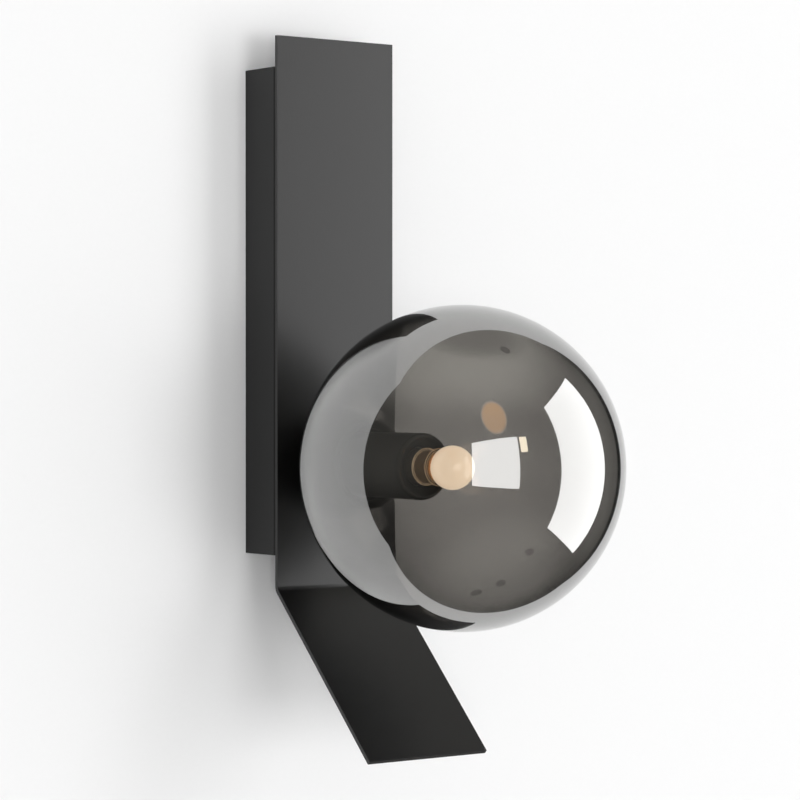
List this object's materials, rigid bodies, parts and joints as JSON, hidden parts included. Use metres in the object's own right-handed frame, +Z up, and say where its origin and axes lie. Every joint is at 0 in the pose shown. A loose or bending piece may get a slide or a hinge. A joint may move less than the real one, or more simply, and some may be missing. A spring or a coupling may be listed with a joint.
{
  "type": "globe wall sconce",
  "caption": "Wall light: a folded black steel strip on a shallow wall box carries a smoked glass globe that screws on round a push-in capsule lamp.",
  "frame": {"origin": "on the wall plane, midway between the bracket's two screw slots", "axes": "+X to the right for someone facing the light, -Y into the room, +Z up"},
  "size_m": [0.15, 0.2027, 0.3416],
  "materials": {
    "black_steel": "matt black powder coat",
    "black_metal": "satin black",
    "black_screw": "black oxide",
    "zinc_steel": "zinc plated",
    "brass": "plain",
    "white_nylon": "moulded",
    "brown_sheath": "insulation",
    "blue_sheath": "insulation",
    "green_sheath": "insulation",
    "socket_ceramic": "unglazed",
    "silicone": "matt",
    "smoked_glass": "smoked, mirror-like gloss",
    "lamp_base": "moulded",
    "amber_glass": "clear, warm",
    "gold_metal": "polished",
    "phosphor": "matt",
    "frosted_glass": "frosted"
  },
  "bodies": {
    "lamp": {"wall_bracket": "zinc_steel", "back_box": "black_steel", "box_screws": "black_screw", "front_plate": "black_steel", "plate_studs": "zinc_steel", "stud_washers": "zinc_steel", "stud_nuts": "zinc_steel", "earth_stud": "brass", "earth_lug": "brass", "earth_nut": "brass", "terminal_block": "white_nylon", "terminal_barrels": "brass", "terminal_screws": "zinc_steel", "block_screws": "zinc_steel", "live_wire": "brown_sheath", "neutral_wire": "blue_sheath", "earth_wire": "green_sheath", "nipple": "brass", "nipple_nuts": "brass", "nipple_washer": "zinc_steel", "nipple_bush": "white_nylon", "globe_boss": "black_metal", "holder_tube": "black_metal", "front_ring": "black_metal", "socket_strap": "zinc_steel", "socket_body": "socket_ceramic", "socket_contacts": "brass", "socket_screws": "zinc_steel"},
    "seal": {"seal_ring": "silicone"},
    "globe": {"globe_collar": "black_metal", "glass_globe": "smoked_glass"},
    "bulb": {"bulb_pins": "zinc_steel", "bulb_base": "lamp_base", "bulb_sleeve": "amber_glass", "led_carrier": "gold_metal", "led_strips": "phosphor", "bulb_globe": "frosted_glass"}
  },
  "joints": [
    {"name": "globe_off", "type": "slide", "parent": "lamp", "child": "seal", "axis": [0, -1, 0], "range_m": [0, 0.11]},
    {"name": "globe_turn", "type": "hinge", "parent": "seal", "child": "globe", "pos_m": [0, -0.0275, -0.07345], "axis": [0, -1, 0], "range_deg": [0, 540]},
    {"name": "bulb_out", "type": "slide", "parent": "lamp", "child": "bulb", "axis": [0, -1, 0], "range_m": [0, 0.022]}
  ]
}
